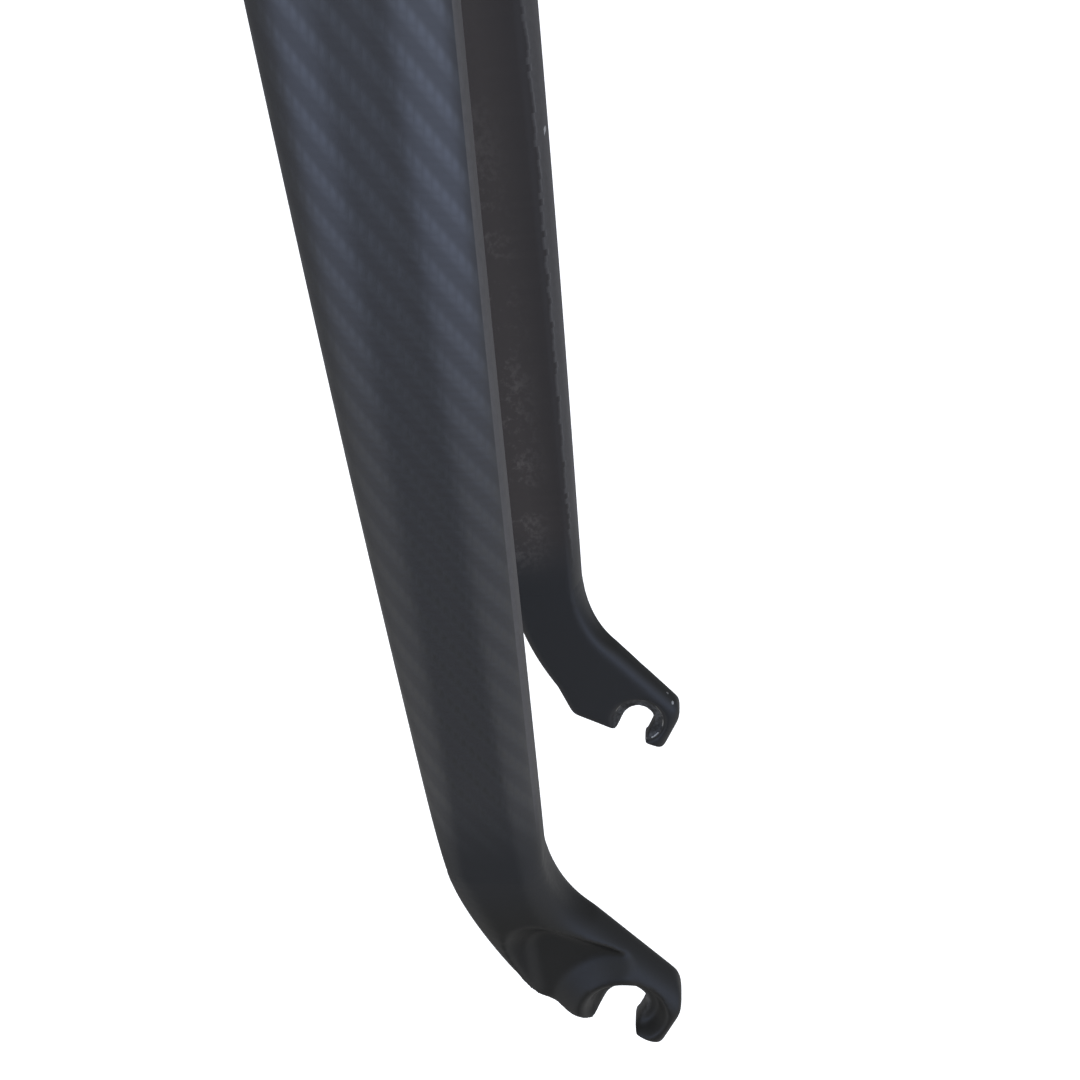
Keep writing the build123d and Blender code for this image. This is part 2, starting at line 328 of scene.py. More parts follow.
def leg_path():
    """Evenly spaced places and directions along the wheel side of one leg, joint to crown."""
    points = np.array(PATH)
    steps = np.linalg.norm(np.diff(points, axis=0), axis=1)
    count = len(points)
    matrix = np.eye(count)
    sides = np.zeros((count, 2))
    sides[0] = (0, 1)
    sides[-1] = (-1, 0)
    for i in range(1, count - 1):
        before = steps[i - 1]
        after = steps[i]
        back = points[i] - points[i - 1]
        ahead = points[i + 1] - points[i]
        matrix[i, i - 1:i + 2] = (after, 2 * (before + after), before)
        sides[i] = 3 * (after / before * back + before / after * ahead)
    slopes = np.linalg.solve(matrix, sides)
    curve = []
    for i in range(count - 1):
        t = np.linspace(0, 1, PATH_STEPS)[:, None]
        start, end = points[i], points[i + 1]
        leave = (2 * t**3 - 3 * t**2 + 1) * start + (t**3 - 2 * t**2 + t) * steps[i] * slopes[i]
        arrive = (3 * t**2 - 2 * t**3) * end + (t**3 - t**2) * steps[i] * slopes[i + 1]
        curve.append(leave + arrive)
    curve = np.vstack(curve)
    run = np.r_[0, np.cumsum(np.linalg.norm(np.diff(curve, axis=0), axis=1))]
    even = np.linspace(0, run[-1], RINGS + 1)
    places = np.c_[np.interp(even, run, curve[:, 0]), np.interp(even, run, curve[:, 1])]
    turns = np.gradient(places, axis=0)
    turns[0] = (0, 1)
    turns[-1] = (-1, 0)
    return places, turns / np.linalg.norm(turns, axis=1)[:, None], even


def outline(chord, depth, inner_r, outer_r, inset):
    """Points round a section from the middle of the wheel side, front first: (along chord, outward)."""
    half = chord / 2 - inset
    top = depth - inset
    in_u = inner_r[0] - inset * CORNER_INSET
    in_w = inner_r[1] - inset
    out_u = outer_r[0] - inset * CORNER_INSET
    out_w = outer_r[1] - inset
    side = []
    for t in np.linspace(0, 1, FLAT_STEPS + 1)[:-1]:
        side.append((t * (half - in_u), inset))
    for a in np.radians(np.linspace(-90, 0, INNER_STEPS + 1)[:-1]):
        side.append((half - in_u + in_u * math.cos(a), inset + in_w + in_w * math.sin(a)))
    for t in np.linspace(0, 1, EDGE_STEPS + 1)[:-1]:
        side.append((half, inset + in_w + t * (top - out_w - inset - in_w)))
    for a in np.radians(np.linspace(0, 90, OUTER_STEPS + 1)[:-1]):
        side.append((half - out_u + out_u * math.cos(a), top - out_w + out_w * math.sin(a)))
    for t in np.linspace(1, 0, FACE_STEPS + 1):
        side.append((t * (half - out_u), top))
    return side + [(-u, w) for u, w in side[-2:0:-1]]


def leg_ring(rise, height, inset=0.0):
    """Section outline at a share of the leg's length, and the section's middle."""
    up = (height - JOINT_HEIGHT) / (ARCH_HEIGHT - JOINT_HEIGHT)
    swell = rise ** NEAR_END
    foot = (1 - rise) ** NEAR_END
    chord = JOINT_CHORD + (CROWN_CHORD - JOINT_CHORD) * up
    depth = JOINT_DEPTH + DEPTH_GAIN * rise + (CROWN_DEPTH - JOINT_DEPTH - DEPTH_GAIN) * swell
    inner_r = [radius + gain * rise for radius, gain in zip(INNER_R, INNER_GAIN)]
    share = OUTER_SHARE - OUTER_SHARE_FOOT * foot - OUTER_SHARE_CROWN * swell
    outer_r = (chord * share, OUTER_R - OUTER_R_FOOT * foot + OUTER_R_GAIN * rise + OUTER_R_CROWN * swell)
    setback = BLADE_SETBACK + (JOINT_SETBACK - BLADE_SETBACK) * (1 - rise) ** 3
    return outline(chord, depth, inner_r, outer_r, inset), -setback - chord / 2


def add_ring(bm, points, middle, place, turn, run):
    """A closed loop of vertices on a section of the left leg, tagged with its place in the cloth."""
    tags = [bm.verts.layers.float[name] for name in TAGS]
    ring = bmesh.ops.create_circle(bm, segments=len(points), radius=1.0)["verts"]
    outward = Vector((0, turn[1], -turn[0]))
    steps = np.linalg.norm(np.diff(np.array(points + points[:1]), axis=0), axis=1)
    girths = np.r_[0, np.cumsum(steps)]
    total = girths[-1]
    edge = girths[FRONT_POINT]
    for vert, point, girth in zip(ring, points, girths):
        vert.co = Vector((middle + point[0], place[0], place[1])) + outward * point[1]
        lap = edge - min(girth, total - girth)
        for tag, value in zip(tags, (girth - total / 2, run, lap, point[0])):
            vert[tag] = value
    return ring


def ring_edges(ring):
    """The edges of a closed loop of vertices."""
    members = set(ring)
    return {e for v in ring for e in v.link_edges if e.other_vert(v) in members}


def build_leg(bm):
    """Left leg: socket for the dropout's tang, rim of the joint, and blade to the middle of the crown."""
    places, turns, runs = leg_path()
    deep = int(np.searchsorted(runs, SOCKET_REACH))
    levels = [(i, SOCKET_WALL) for i in range(deep, -1, -SOCKET_RINGS)]
    levels += [(i, 0.0) for i in range(RINGS + 1)]
    rings = []
    for i, inset in levels:
        points, middle = leg_ring(i / RINGS, places[i][1], inset)
        rings.append(add_ring(bm, points, middle, places[i], turns[i], runs[i]))
    for low, high in zip(rings, rings[1:]):
        bmesh.ops.bridge_loops(bm, edges=list(ring_edges(low) | ring_edges(high)))
    bmesh.ops.contextual_create(bm, geom=list(ring_edges(rings[0])))


def ease_bend(bm):
    """Draws the rear edge forward at the joint, so that the leg bends in a curve and not at a corner."""
    middle = -JOINT_SETBACK - JOINT_CHORD / 2
    for vert in bm.verts:
        away = vert.co - AXLE
        height = away.dot(UPWARD) / MM - JOINT_HEIGHT
        behind = (middle - away.dot(FORWARD) / MM) / (JOINT_CHORD / 2)
        reach = BEND_ABOVE if height > 0 else BEND_BELOW
        share = min(max(behind, 0.0), 1.0) * math.exp(-abs(height) / reach)
        vert.co += FORWARD * BEND_EASE * share * MM


def fill_ramp(ramp, stops):
    """Sets a colour ramp's stops, given as (place from 0 to 1, RGB)."""
    while len(ramp.elements) < len(stops):
        ramp.elements.new(1.0)
    for element, (position, colour) in zip(ramp.elements, stops):
        element.position = position
        element.color = (*colour, 1)


def sky_nodes(tree):
    """Soft room: pale panels right of the fork, a dark gap between them, white overhead, dim far wall."""
    place = add(tree, "ShaderNodeTexCoord").outputs["Generated"]
    axis = add(tree, "ShaderNodeSeparateXYZ", {0: place}).outputs
    right = add(tree, "ShaderNodeMath", {0: axis["Y"], 1: -1.0}, operation="MULTIPLY")
    turn = add(tree, "ShaderNodeMath", {0: axis["X"], 1: right}, operation="ARCTAN2")
    rise = add(tree, "ShaderNodeMath", {0: axis["Z"]}, operation="ARCSINE")
    spread = add(tree, "ShaderNodeMapRange", {
        "Value": rise, "From Min": GAP_WIDE, "From Max": GAP_NARROW, "To Min": GAP_SPREAD})
    turn = add(tree, "ShaderNodeMath", {0: turn, 1: GAP}, operation="ADD")
    turn = add(tree, "ShaderNodeMath", {
        0: turn, 1: spread.outputs["Result"], 2: -GAP}, operation="MULTIPLY_ADD")
    turn = add(tree, "ShaderNodeMapRange", {"Value": turn, "From Min": -math.pi, "From Max": math.pi})
    rise = add(tree, "ShaderNodeMapRange", {
        "Value": rise, "From Min": -math.pi / 2, "From Max": math.pi / 2})
    around = add(tree, "ShaderNodeValToRGB", {"Fac": turn.outputs["Result"]})
    fill_ramp(around.color_ramp, [((a + 180) / 360, (panel, room, 0)) for a, panel, room in AROUND])
    share = add(tree, "ShaderNodeSeparateColor", {"Color": around.outputs["Color"]}).outputs
    lit = []
    for stops, amount in ((ROOM, share["Green"]), (PANELS, share["Red"])):
        light = add(tree, "ShaderNodeValToRGB", {"Fac": rise.outputs["Result"]})
        fill_ramp(light.color_ramp, [((a + 90) / 180, colour) for a, colour in stops])
        colour = light.outputs["Color"]
        lit.append(add(tree, "ShaderNodeVectorMath", {0: colour, "Scale": amount}, operation="SCALE"))
    total = add(tree, "ShaderNodeVectorMath", {0: lit[0], 1: lit[1]}, operation="ADD")
    tree.links.new(total.outputs["Vector"], tree.nodes["Background"].inputs["Color"])


class FORK_OT_stage(bpy.types.Operator):
    """Floor, lights and camera"""
    bl_idname = "fork.stage"
    bl_label = "Studio"

    def execute(self, context):
        settings = context.scene.fork_stage
        self.lay_floor(context, settings)
        self.light_room(context)
        data = bpy.data.cameras.new("camera")
        data.sensor_width = SENSOR
        data.lens = settings.lens
        data.shift_y = settings.shift
        data.clip_start = NEAR_CLIP
        camera = bpy.data.objects.new("camera", data)
        camera.location = settings.camera_place
        camera.rotation_euler = settings.camera_turn
        context.collection.objects.link(camera)
        context.scene.camera = camera
        return {"FINISHED"}

    def lay_floor(self, context, settings):
        """Plain pale floor well below the fork."""
        bm = bmesh.new()
        bmesh.ops.create_grid(bm, x_segments=1, y_segments=1, size=FLOOR_SIZE)
        bmesh.ops.translate(bm, verts=bm.verts, vec=(0, 0, settings.floor_height))
        mesh = bpy.data.meshes.new("floor")
        bm.to_mesh(mesh)
        bm.free()
        floor = bpy.data.objects.new("floor", mesh)
        context.collection.objects.link(floor)
        mesh.materials.append(new_material("Pale light table", lambda tree: {
            "Base Color": (*settings.floor, 1), "Roughness": 0.9, "Specular IOR Level": 0.1,
            "Emission Color": (*settings.floor, 1), "Emission Strength": 0.8}))
        floor.visible_glossy = False
        floor.visible_diffuse = False

    def light_room(self, context):
        """Room light and a soft top light."""
        world = bpy.data.worlds.new("studio")
        world.use_nodes = True
        sky_nodes(world.node_tree)
        context.scene.world = world
        context.scene.view_settings.view_transform = "Standard"
        data = bpy.data.lights.new("top_panel", "AREA")
        data.size = TOP_SIZE
        data.energy = TOP_WATTS
        light = bpy.data.objects.new("top_panel", data)
        light.location = TOP_PLACE
        light.visible_camera = False
        context.collection.objects.link(light)


def chip_mask(tree, place, chips, size):
    """1 inside a few ragged chips, given by their middles in mm."""
    ragged = add(tree, "ShaderNodeTexNoise", {
        "Vector": place, "Scale": 1 / (CHIP_GRAIN * MM), "Detail": 2.0}).outputs["Fac"]
    nearest = 1.0
    for chip in chips:
        middle = [c * MM for c in chip]
        away = add(tree, "ShaderNodeVectorMath", {0: place, 1: middle}, operation="DISTANCE")
        nearest = add(tree, "ShaderNodeMath", {0: away.outputs["Value"], 1: nearest}, operation="MINIMUM")
    reach = add(tree, "ShaderNodeMath", {0: ragged, 1: 2 * size * MM}, operation="MULTIPLY")
    return add(tree, "ShaderNodeMath", {0: nearest, 1: reach}, operation="LESS_THAN")


def twill(tree, settings, uv):
    """Slanting ribs and the relief of a two over two twill. The ribs' light and dark are the cloth's pattern
    and painted sheen of the tows; the crowns of the floats are painted lighter, a painted highlight.
    """
    turned = add(tree, "ShaderNodeVectorRotate", {
        "Vector": uv, "Angle": settings.slant}, rotation_type="Z_AXIS")
    tows = add(tree, "ShaderNodeVectorMath", {0: turned, "Scale": 1 / settings.tow}, operation="SCALE")
    cell = add(tree, "ShaderNodeVectorMath", {0: tows}, operation="FLOOR")
    part = add(tree, "ShaderNodeVectorMath", {0: tows}, operation="FRACTION")
    cell = add(tree, "ShaderNodeSeparateXYZ", {0: cell}).outputs
    part = add(tree, "ShaderNodeSeparateXYZ", {0: part}).outputs
    tows = add(tree, "ShaderNodeSeparateXYZ", {0: tows}).outputs
    total = add(tree, "ShaderNodeMath", {0: cell["X"], 1: cell["Y"]}, operation="ADD")
    step = add(tree, "ShaderNodeMath", {0: total, 1: TWILL_REPEAT}, operation="FLOORED_MODULO")
    weft = add(tree, "ShaderNodeMath", {0: step, 1: TWILL_REPEAT / 2 - 0.5}, operation="GREATER_THAN")
    across = add(tree, "ShaderNodeMix", {"Factor": weft, "A": part["X"], "B": part["Y"]})
    along = add(tree, "ShaderNodeMix", {"Factor": weft, "A": part["Y"], "B": part["X"]})
    bow = add(tree, "ShaderNodeMath", {0: across, 1: math.pi}, operation="MULTIPLY")
    bow = add(tree, "ShaderNodeMath", {0: bow}, operation="SINE")
    half = add(tree, "ShaderNodeMath", {0: step, 1: TWILL_REPEAT / 2}, operation="FLOORED_MODULO")
    reach = add(tree, "ShaderNodeMath", {0: half, 1: along}, operation="ADD")
    reach = add(tree, "ShaderNodeMath", {0: reach, 1: math.pi / 2}, operation="MULTIPLY")
    crown = add(tree, "ShaderNodeMath", {0: reach}, operation="SINE")
    height = add(tree, "ShaderNodeMath", {0: bow, 1: crown}, operation="MULTIPLY")
    slope = add(tree, "ShaderNodeMath", {0: tows["X"], 1: tows["Y"]}, operation="ADD")
    slope = add(tree, "ShaderNodeMath", {0: slope, 1: math.tau / TWILL_REPEAT}, operation="MULTIPLY")
    rib = add(tree, "ShaderNodeMath", {0: slope}, operation="SINE")
    rib = add(tree, "ShaderNodeMapRange", {"Value": rib, "From Min": -0.7, "From Max": 1.0},
              interpolation_type="SMOOTHSTEP").outputs["Result"]
    # Painted highlight: each float is lighter at its crown and darker at its sides.
    lit = add(tree, "ShaderNodeMapRange", {"Value": height, "To Min": 0.6, "To Max": 1.0}).outputs["Result"]
    return add(tree, "ShaderNodeMath", {0: rib, 1: lit}, operation="MULTIPLY"), height


def carbon_zones(tree, settings):
    """Shares of the carbon's finishes.

    In order: clear of the joint, tape over the front edge, tape turned inwards (painted shade), its frayed
    border, skin of the wheel side, dust on that skin, and the skin's painted shade, darker next to its
    border.
    """
    run = add(tree, "ShaderNodeSeparateXYZ", {0: add(tree, "ShaderNodeUVMap", uv_map="cloth")}).outputs["Y"]
    lap = add(tree, "ShaderNodeSeparateXYZ", {0: add(tree, "ShaderNodeUVMap", uv_map="lap")}).outputs
    bare = add(tree, "ShaderNodeMapRange", {
        "Value": run, "From Min": PAINT_RUN[0] * MM, "From Max": PAINT_RUN[1] * MM},
        interpolation_type="SMOOTHSTEP").outputs["Result"]
    front = add(tree, "ShaderNodeMath", {0: lap["Y"], 1: 0.0}, operation="GREATER_THAN")
    thread = add(tree, "ShaderNodeMath", {0: run, 1: settings.tow}, operation="DIVIDE")
    thread = add(tree, "ShaderNodeMath", {0: thread}, operation="FLOOR")
    tooth = add(tree, "ShaderNodeTexWhiteNoise", {"W": thread}, noise_dimensions="1D").outputs["Value"]
    border = add(tree, "ShaderNodeMix", {"Factor": front, "A": settings.overlap, "B": settings.tape_inside})
    past = add(tree, "ShaderNodeMath", {0: lap["X"], 1: border}, operation="SUBTRACT")
    past = add(tree, "ShaderNodeMath", {0: tooth, 1: FRAY * MM, 2: past}, operation="MULTIPLY_ADD")
    inside = add(tree, "ShaderNodeMapRange", {"Value": past, "From Max": SKIN_EDGE * MM}).outputs["Result"]
    frayed = add(tree, "ShaderNodeMath", {
        0: past, 1: FRAY_PLACE * MM, 2: FRAY_WIDTH * MM}, operation="COMPARE")
    frayed = add(tree, "ShaderNodeMath", {0: frayed, 1: tooth}, operation="MULTIPLY")
    frayed = add(tree, "ShaderNodeMath", {0: frayed, 1: front}, operation="MULTIPLY")
    # Painted shade: share of the tape that is darkened as it turns onto the wheel side.
    turned = add(tree, "ShaderNodeMapRange", {
        "Value": lap["X"], "From Min": TAPE_TURN[0] * MM, "From Max": TAPE_TURN[1] * MM}).outputs["Result"]
    begin = -settings.tape - TAPE_FADE * MM
    taped = add(tree, "ShaderNodeMapRange", {
        "Value": lap["X"], "From Min": begin, "From Max": -settings.tape}).outputs["Result"]
    taped = add(tree, "ShaderNodeMath", {0: taped, 1: front}, operation="MULTIPLY")
    low = add(tree, "ShaderNodeMapRange", {
        "Value": run, "From Min": DUST_RUN[0] * MM, "From Max": DUST_RUN[1] * MM},
        interpolation_type="SMOOTHSTEP").outputs["Result"]
    rear = add(tree, "ShaderNodeMapRange", {
        "Value": lap["Y"], "From Min": DUST_REAR[0] * MM, "From Max": DUST_REAR[1] * MM},
        interpolation_type="SMOOTHSTEP").outputs["Result"]
    dust_and_painted_light = add(tree, "ShaderNodeMath", {0: low, 1: rear}, operation="MULTIPLY")
    # Painted shade: the skin is darker next to its border and lighter further in.
    painted_skin_shade = add(tree, "ShaderNodeMapRange", {
        "Value": past, "From Max": SKIN_SHADE * MM, "To Min": 0.7, "To Max": 1.45}).outputs["Result"]
    return bare, taped, turned, frayed, inside, dust_and_painted_light, painted_skin_shade


def carbon_feeds(settings):
    """Woven carbon cloth in clear resin, moulded: grey tows that catch the light in slanting ribs, satin.

    A plain matt tape covers the front edge. Inside its ragged border the wheel side is the mould's dark,
    dusty skin.
    """
    def feeds(tree):
        uv = add(tree, "ShaderNodeUVMap", uv_map="cloth")
        place = add(tree, "ShaderNodeTexCoord").outputs["Object"]
        ribs, height = twill(tree, settings, uv)
        bare, taped, turned, frayed, inside, dust_and_painted_light, painted_skin_shade = carbon_zones(tree, settings)
        dust = add(tree, "ShaderNodeTexNoise", {
            "Vector": place, "Scale": 1 / (DUST_GRAIN * MM), "Detail": 4.0,
            "Roughness": 0.65}).outputs["Fac"]
        patch = add(tree, "ShaderNodeTexNoise", {
            "Vector": place, "Scale": 1 / (DUST_PATCH * MM), "Detail": 2.0}).outputs["Fac"]
        grain = add(tree, "ShaderNodeMath", {0: dust, 1: patch}, operation="MULTIPLY")
        specks = add(tree, "ShaderNodeMapRange", {
            "Value": grain, "From Min": 0.24, "From Max": 0.36}).outputs["Result"]
        specks = add(tree, "ShaderNodeMath", {0: specks, 1: dust_and_painted_light}, operation="MULTIPLY")
        skin = add(tree, "ShaderNodeMix", {
            "Factor": specks, "A": (*settings.skin, 1), "B": (*settings.speck, 1)}, data_type="RGBA")
        # Painted shade on the skin, darker next to the tape's border.
        skin = add(tree, "ShaderNodeVectorMath", {0: skin, "Scale": painted_skin_shade}, operation="SCALE")
        cloth = add(tree, "ShaderNodeMix", {
            "Factor": ribs, "A": (*settings.fibre_dark, 1), "B": (*settings.fibre_light, 1)},
            data_type="RGBA")
        tone = add(tree, "ShaderNodeMapRange", {
            "Value": dust, "From Min": 0.3, "From Max": 0.7,
            "To Min": 0.9, "To Max": 1.1}).outputs["Result"]
        # Painted shade: the tape's colour darkens towards the wheel side.
        edge = add(tree, "ShaderNodeMix", {
            "Factor": turned, "A": (*settings.edge, 1), "B": (*settings.tape_inside_painted_shade, 1)}, data_type="RGBA")
        edge = add(tree, "ShaderNodeMix", {
            "Factor": frayed, "A": edge, "B": (*settings.edge, 1)}, data_type="RGBA")
        tape = add(tree, "ShaderNodeVectorMath", {0: edge, "Scale": tone}, operation="SCALE")
        cloth = add(tree, "ShaderNodeMix", {"Factor": taped, "A": cloth, "B": tape}, data_type="RGBA")
        colour = add(tree, "ShaderNodeMix", {"Factor": inside, "A": cloth, "B": skin}, data_type="RGBA")
        chipped = chip_mask(tree, place, [BLADE_CHIP], BLADE_CHIP_SIZE)
        colour = add(tree, "ShaderNodeMix", {
            "Factor": chipped, "A": colour, "B": (*settings.chip, 1)}, data_type="RGBA")
        colour = add(tree, "ShaderNodeMix", {
            "Factor": bare, "A": (*settings.joint, 1), "B": colour}, data_type="RGBA")
        matt = add(tree, "ShaderNodeMath", {0: inside, 1: taped}, operation="MAXIMUM")
        woven = add(tree, "ShaderNodeMath", {0: 1.0, 1: matt}, operation="SUBTRACT")
        woven = add(tree, "ShaderNodeMath", {0: woven, 1: bare}, operation="MULTIPLY")
        metal = add(tree, "ShaderNodeMapRange", {
            "Value": ribs, "To Min": 0.2, "To Max": 0.8}).outputs["Result"]
        metal = add(tree, "ShaderNodeMath", {0: woven, 1: metal}, operation="MULTIPLY")
        coat = add(tree, "ShaderNodeMath", {0: woven, 1: 0.5}, operation="MULTIPLY")
        rough = add(tree, "ShaderNodeMapRange", {
            "Value": ribs, "To Min": 0.48, "To Max": 0.36}).outputs["Result"]
        rough = add(tree, "ShaderNodeMix", {"Factor": matt, "A": rough, "B": 0.6})
        rough = add(tree, "ShaderNodeMix", {"Factor": bare, "A": 0.42, "B": rough})
        relief = add(tree, "ShaderNodeMix", {"Factor": matt, "A": height, "B": dust})
        relief = add(tree, "ShaderNodeMath", {0: relief, 1: bare}, operation="MULTIPLY")
        bump = add(tree, "ShaderNodeBump", {"Height": relief, "Strength": 0.15, "Distance": 0.2 * MM})
        return {"Base Color": colour, "Metallic": metal, "Roughness": rough, "Normal": bump,
                "Coat Weight": coat, "Coat Roughness": 0.25, "Specular IOR Level": 0.3}
    return feeds


def paint_wear(tree, place, around, outward, grit):
    """Shares of the dropout that are rubbed grey, and that are bare metal in the chips or a painted
    highlight in the bright arc round each seat.
    """
    flat = add(tree, "ShaderNodeVectorMath", {0: around, 1: (1, 0, 1)}, operation="MULTIPLY")
    radius = add(tree, "ShaderNodeVectorMath", {0: flat}, operation="LENGTH").outputs["Value"]
    rubs = add(tree, "ShaderNodeTexNoise", {
        "Vector": place, "Scale": 1 / (RUB_SIZE * MM), "Detail": 3.0}).outputs["Fac"]
    facing = add(tree, "ShaderNodeMath", {0: outward, 1: SEAT_REACH * MM}, operation="LESS_THAN")
    seat = add(tree, "ShaderNodeMapRange", {
        "Value": radius, "From Min": SEAT_R[0] * MM, "From Max": SEAT_R[1] * MM}).outputs["Result"]
    seat = add(tree, "ShaderNodeMath", {0: seat, 1: facing}, operation="MULTIPLY")
    slot = add(tree, "ShaderNodeMapRange", {
        "Value": radius, "From Min": SLOT_R[0] * MM, "From Max": SLOT_R[1] * MM}).outputs["Result"]
    rubbed = add(tree, "ShaderNodeMath", {0: seat, 1: slot}, operation="MAXIMUM")
    speck = add(tree, "ShaderNodeMath", {0: grit, 1: rubs}, operation="MULTIPLY")
    speck = add(tree, "ShaderNodeMapRange", {
        "Value": speck, "From Min": 0.16, "From Max": 0.36}).outputs["Result"]
    worn = add(tree, "ShaderNodeMath", {0: rubbed, 1: speck}, operation="MULTIPLY")
    # Painted highlight: a thin bright arc of bare-metal colour round the seat's edge, broken by noise.
    rim = add(tree, "ShaderNodeMath", {0: radius, 1: SEAT_EDGE_HIGHLIGHT_R * MM, 2: SEAT_EDGE_HIGHLIGHT_WIDTH * MM}, operation="COMPARE")
    rim = add(tree, "ShaderNodeMath", {0: rim, 1: facing}, operation="MULTIPLY")
    broken = add(tree, "ShaderNodeMath", {0: rubs, 1: 0.52}, operation="GREATER_THAN")
    rim = add(tree, "ShaderNodeMath", {0: rim, 1: broken}, operation="MULTIPLY")
    chips = chip_mask(tree, place, NOSE_CHIPS, NOSE_CHIP_SIZE)
    return worn, add(tree, "ShaderNodeMath", {0: rim, 1: chips}, operation="MAXIMUM")


def paint_feeds(settings):
    """Black satin paint on forged aluminium: a dark even film with a little orange peel.

    The seats inside are rubbed grey by the hub's lock nuts, with a painted highlight, a bright arc of
    bare-metal colour round each seat's edge, and the axle has worn the slot; the nose has lost two chips.
    The paint is thinner towards the joint, and the
    wheel side is painted lighter: painted light.
    """
    def feeds(tree):
        place = add(tree, "ShaderNodeTexCoord").outputs["Object"]
        around = add(tree, "ShaderNodeVectorMath", {0: place, 1: AXLE}, operation="SUBTRACT")
        side = add(tree, "ShaderNodeSeparateXYZ", {0: place}).outputs["Y"]
        outward = add(tree, "ShaderNodeMath", {0: side}, operation="ABSOLUTE")
        grit = add(tree, "ShaderNodeTexNoise", {
            "Vector": place, "Scale": 1 / (PAINT_GRAIN * MM), "Detail": 4.0,
            "Roughness": 0.6}).outputs["Fac"]
        worn, bare = paint_wear(tree, place, around, outward, grit)
        rise = add(tree, "ShaderNodeVectorMath", {0: around, 1: UPWARD}, operation="DOT_PRODUCT")
        thin_paint_and_painted_light = add(tree, "ShaderNodeMapRange", {
            "Value": rise.outputs["Value"], "From Min": (JOINT_HEIGHT - THIN_PAINT) * MM,
            "From Max": JOINT_HEIGHT * MM}, interpolation_type="SMOOTHSTEP").outputs["Result"]
        # Painted light: the wheel side of the dropouts is lightened to the joint paint's colour.
        dust_and_painted_light = add(tree, "ShaderNodeMapRange", {
            "Value": outward, "From Min": WHEEL_SIDE[0] * MM,
            "From Max": WHEEL_SIDE[1] * MM}).outputs["Result"]
        # Thinner paint at the joint, and painted light on the wheel side.
        thin_paint_and_painted_light = add(tree, "ShaderNodeMath", {0: thin_paint_and_painted_light, 1: dust_and_painted_light}, operation="MAXIMUM")
        colour = add(tree, "ShaderNodeMix", {
            "Factor": thin_paint_and_painted_light, "A": (*settings.paint, 1), "B": (*settings.joint, 1)}, data_type="RGBA")
        colour = add(tree, "ShaderNodeMix", {
            "Factor": worn, "A": colour, "B": (*settings.worn, 1)}, data_type="RGBA")
        colour = add(tree, "ShaderNodeMix", {
            "Factor": bare, "A": colour, "B": (*settings.metal, 1)}, data_type="RGBA")
        rough = add(tree, "ShaderNodeMapRange", {
            "Value": grit, "To Min": 0.34, "To Max": 0.50}).outputs["Result"]
        peel = add(tree, "ShaderNodeBump", {"Height": grit, "Strength": 0.12, "Distance": 0.1 * MM})
        return {"Base Color": colour, "Metallic": bare, "Roughness": rough, "Normal": peel,
                "Specular IOR Level": 0.3}
    return feeds


def alloy_feeds(settings, lines):
    """Bare aluminium, drawn or turned: grey and bright, with fine lines of the given spacing.

    The real lines are finer than they are drawn here, or they would not show.
    """
    def feeds(tree):
        place = add(tree, "ShaderNodeTexCoord").outputs["Object"]
        scale = [1 / (size * MM) for size in lines]
        marks = add(tree, "ShaderNodeVectorMath", {0: place, 1: scale}, operation="MULTIPLY")
        marks = add(tree, "ShaderNodeTexNoise", {
            "Vector": marks, "Scale": 1.0, "Detail": 3.0, "Roughness": 0.6}).outputs["Fac"]
        tone = add(tree, "ShaderNodeMapRange", {
            "Value": marks, "From Min": 0.3, "From Max": 0.7}).outputs["Result"]
        colour = add(tree, "ShaderNodeMix", {
            "Factor": tone, "A": (*settings.dull, 1), "B": (*settings.bright, 1)}, data_type="RGBA")
        rough = add(tree, "ShaderNodeMapRange", {
            "Value": marks, "To Min": 0.34, "To Max": 0.50}).outputs["Result"]
        bump = add(tree, "ShaderNodeBump", {"Height": marks, "Strength": 0.2, "Distance": 0.05 * MM})
        return {"Base Color": colour, "Metallic": 1.0, "Roughness": rough, "Normal": bump}
    return feeds


def carve(context, body, bm, operation):
    """Joins a shape to the body or cuts it out, and keeps only the result."""
    mesh = bpy.data.meshes.new("tool")
    bm.to_mesh(mesh)
    bm.free()
    tool = bpy.data.objects.new("tool", mesh)
    context.collection.objects.link(tool)
    modifier = body.modifiers.new("carve", "BOOLEAN")
    modifier.operation = operation
    modifier.solver = "EXACT"
    modifier.object = tool
    context.view_layer.update()
    made = bpy.data.meshes.new_from_object(body.evaluated_get(context.evaluated_depsgraph_get()))
    body.modifiers.clear()
    body.data = made
    bpy.data.objects.remove(tool)


